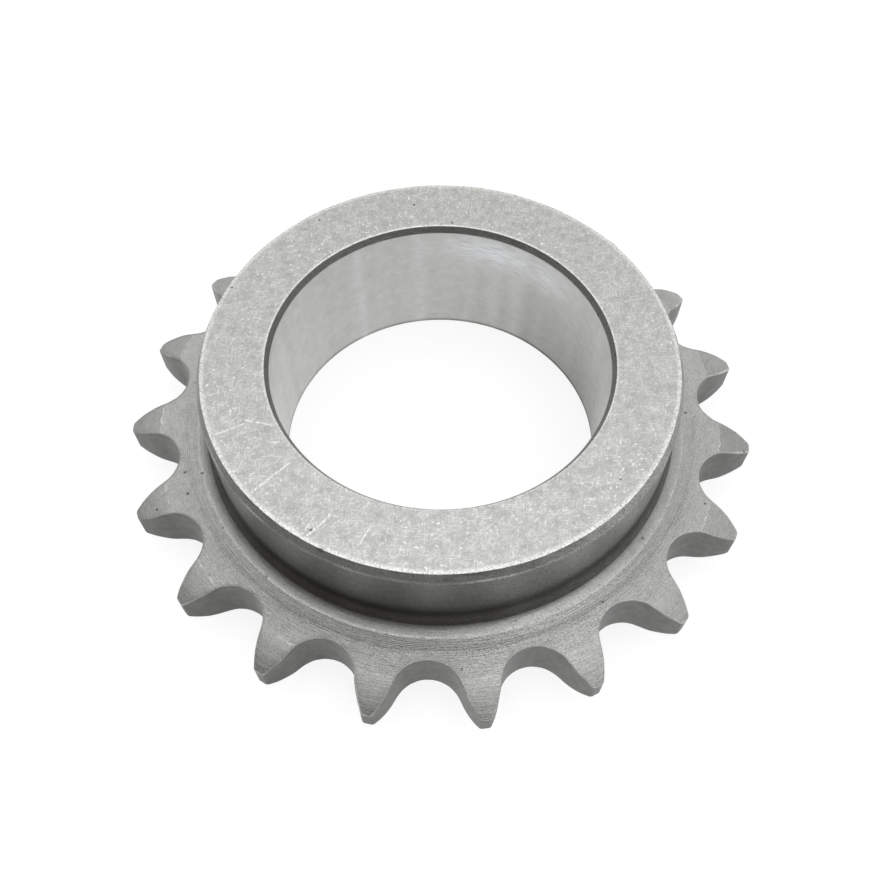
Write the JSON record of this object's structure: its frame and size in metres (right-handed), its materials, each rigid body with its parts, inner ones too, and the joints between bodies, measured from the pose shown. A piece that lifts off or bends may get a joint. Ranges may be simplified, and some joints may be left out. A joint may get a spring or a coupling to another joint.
{
  "type": "roller chain sprocket",
  "caption": "One-piece steel sprocket for a single roller chain, with a turned hub on one side and a large plain bore.",
  "frame": {"origin": "on the bore's axis, in the flat face of the toothed plate that the part rests on", "axes": "+Z along the bore's axis, from the flat face to the hub's face; +X through the middle of one tooth"},
  "size_m": [0.0815, 0.0818, 0.0192],
  "materials": {
    "bare_steel": "bare turned steel, satin, with fine turning marks, small scratches and light burrs on the edges"
  },
  "bodies": {
    "root": {"sprocket": "bare_steel"}
  },
  "joints": []
}
